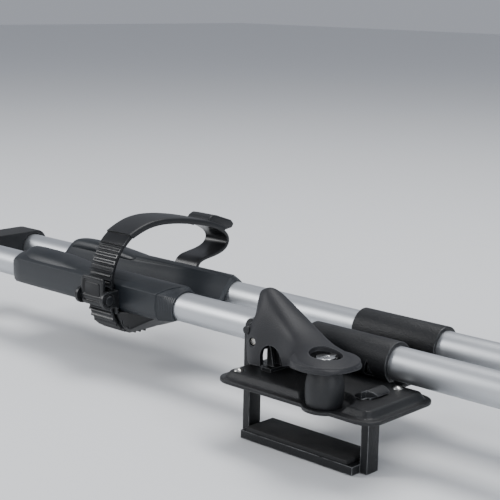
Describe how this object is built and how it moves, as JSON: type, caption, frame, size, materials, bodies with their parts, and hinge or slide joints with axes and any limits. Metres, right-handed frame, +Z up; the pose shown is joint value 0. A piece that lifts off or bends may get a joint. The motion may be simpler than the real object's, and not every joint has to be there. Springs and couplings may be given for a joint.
{
  "type": "roof mounted bike carrier",
  "caption": "Twin tube roof rail carrier for one bicycle, with cam lever clamping feet, sliding wheel holders with ratchet straps and a fold down arm with a screw claw.",
  "frame": {"origin": "middle of the rear foot's seat on the roof bar, on the underside of its rubber pad", "axes": "+X along the rail from the rear foot to the front foot, -Y the side of the levers, +Z up from the roof bar"},
  "size_m": [1.476, 0.1866, 0.6082],
  "materials": {
    "tube_silver": "satin anodised",
    "black_plastic": "moulded",
    "black_steel": "fine powder coat",
    "zinc_steel": "bright zinc",
    "black_rubber": "matt",
    "dark_steel": "black zinc",
    "lever_plastic": "fine spark texture",
    "lock_silver": "nickel",
    "tray_plastic": "satin moulded",
    "strap_plastic": "semi gloss",
    "sleeve_rubber": "smooth",
    "buckle_plastic": "satin moulded",
    "knob_plastic": "soft touch"
  },
  "bodies": {
    "root": {"near_rail_tube": "tube_silver", "far_rail_tube": "tube_silver", "rear_end_cap": "black_plastic", "front_end_cap": "black_plastic", "arm_base": "black_plastic", "arm_bolt": "zinc_steel", "rear_foot_plate": "black_steel", "rear_tube_saddle": "black_steel", "rear_saddle_screws": "zinc_steel", "rear_bar_pad": "black_rubber", "rear_pad_rivets": "zinc_steel", "rear_lever_bracket": "black_steel", "rear_lock_post": "black_plastic", "front_foot_plate": "black_steel", "front_tube_saddle": "black_steel", "front_saddle_screws": "zinc_steel", "front_bar_pad": "black_rubber", "front_pad_rivets": "zinc_steel", "front_lever_bracket": "black_steel", "front_lock_post": "black_plastic"},
    "rear_lever": {"rear_cam_lever": "lever_plastic", "rear_lever_pin": "zinc_steel", "rear_draw_pin": "dark_steel"},
    "rear_hook": {"rear_clamp_hook": "black_steel", "rear_hook_pad": "black_rubber"},
    "rear_core": {"rear_lock_core": "lock_silver"},
    "rear_holder": {"rear_wheel_tray": "tray_plastic", "rear_under_clamp": "buckle_plastic", "rear_tray_screws": "zinc_steel", "rear_wheel_strap": "strap_plastic", "rear_rim_protector": "sleeve_rubber", "rear_anchor_screws": "zinc_steel", "rear_buckle_frame": "buckle_plastic", "rear_buckle_pin": "dark_steel"},
    "rear_buckle": {"rear_buckle_lever": "buckle_plastic"},
    "front_lever": {"front_cam_lever": "lever_plastic", "front_lever_pin": "zinc_steel", "front_draw_pin": "dark_steel"},
    "front_hook": {"front_clamp_hook": "black_steel", "front_hook_pad": "black_rubber"},
    "front_core": {"front_lock_core": "lock_silver"},
    "front_holder": {"front_wheel_tray": "tray_plastic", "front_under_clamp": "buckle_plastic", "front_tray_screws": "zinc_steel", "front_wheel_strap": "strap_plastic", "front_rim_protector": "sleeve_rubber", "front_anchor_screws": "zinc_steel", "front_buckle_frame": "buckle_plastic", "front_buckle_pin": "dark_steel"},
    "front_buckle": {"front_buckle_lever": "buckle_plastic"},
    "arm": {"arm_tube": "tube_silver", "claw_body": "black_plastic", "claw_pad": "black_rubber"},
    "jaw": {"claw_jaw": "black_plastic", "jaw_pad": "black_rubber"},
    "knob": {"clamp_screw": "zinc_steel", "clamp_knob": "knob_plastic"},
    "knob_key": {"knob_core": "lock_silver"}
  },
  "joints": [
    {"name": "rear_lever_open", "type": "hinge", "parent": "root", "child": "rear_lever", "pos_m": [-0.034, -0.058, 0.025], "axis": [0, -1, 0], "range_deg": [0, 90]},
    {"name": "rear_hook_drop", "type": "hinge", "parent": "root", "child": "rear_hook", "pos_m": [0.0445, -0.058, 0.0113], "axis": [0, -1, 0], "range_deg": [0, 7.49]},
    {"name": "rear_core_turn", "type": "hinge", "parent": "root", "child": "rear_core", "pos_m": [0.028, -0.079, 0.03], "axis": [0, 0, 1], "range_deg": [0, 90]},
    {"name": "rear_holder_slide", "type": "slide", "parent": "root", "child": "rear_holder", "axis": [1, 0, 0], "range_m": [-0.05, 0.06]},
    {"name": "rear_buckle_open", "type": "hinge", "parent": "rear_holder", "child": "rear_buckle", "pos_m": [-0.202, -0.0472, 0.017], "axis": [1, 0, 0], "range_deg": [0, 60]},
    {"name": "front_lever_open", "type": "hinge", "parent": "root", "child": "front_lever", "pos_m": [0.666, -0.058, 0.025], "axis": [0, -1, 0], "range_deg": [0, 90]},
    {"name": "front_hook_drop", "type": "hinge", "parent": "root", "child": "front_hook", "pos_m": [0.7445, -0.058, 0.0113], "axis": [0, -1, 0], "range_deg": [0, 7.49]},
    {"name": "front_core_turn", "type": "hinge", "parent": "root", "child": "front_core", "pos_m": [0.728, -0.079, 0.03], "axis": [0, 0, 1], "range_deg": [0, 90]},
    {"name": "front_holder_slide", "type": "slide", "parent": "root", "child": "front_holder", "axis": [1, 0, 0], "range_m": [-0.06, 0.05]},
    {"name": "front_buckle_open", "type": "hinge", "parent": "front_holder", "child": "front_buckle", "pos_m": [0.902, -0.0472, 0.017], "axis": [1, 0, 0], "range_deg": [0, 60]},
    {"name": "arm_fold", "type": "hinge", "parent": "root", "child": "arm", "pos_m": [0.43, 0, 0.0561], "axis": [0, -1, 0], "range_deg": [0, 88]},
    {"name": "knob_turn", "type": "hinge", "parent": "arm", "child": "knob", "pos_m": [0.43, 0.05, 0.5032], "axis": [0, 1, 0], "range_deg": [0, 1800]},
    {"name": "jaw_close", "type": "slide", "parent": "arm", "child": "jaw", "axis": [0, 1, 0], "range_m": [0, 0.028]},
    {"name": "knob_core_turn", "type": "hinge", "parent": "knob", "child": "knob_key", "pos_m": [0.43, 0.07, 0.5032], "axis": [0, 1, 0], "range_deg": [0, 90]}
  ],
  "couplings": [
    {"joint": "rear_hook_drop", "follows": "rear_lever_open", "ratio": 0.083266},
    {"joint": "front_hook_drop", "follows": "front_lever_open", "ratio": 0.083266},
    {"joint": "jaw_close", "follows": "knob_turn", "m_per_rad": 0.00089127}
  ]
}
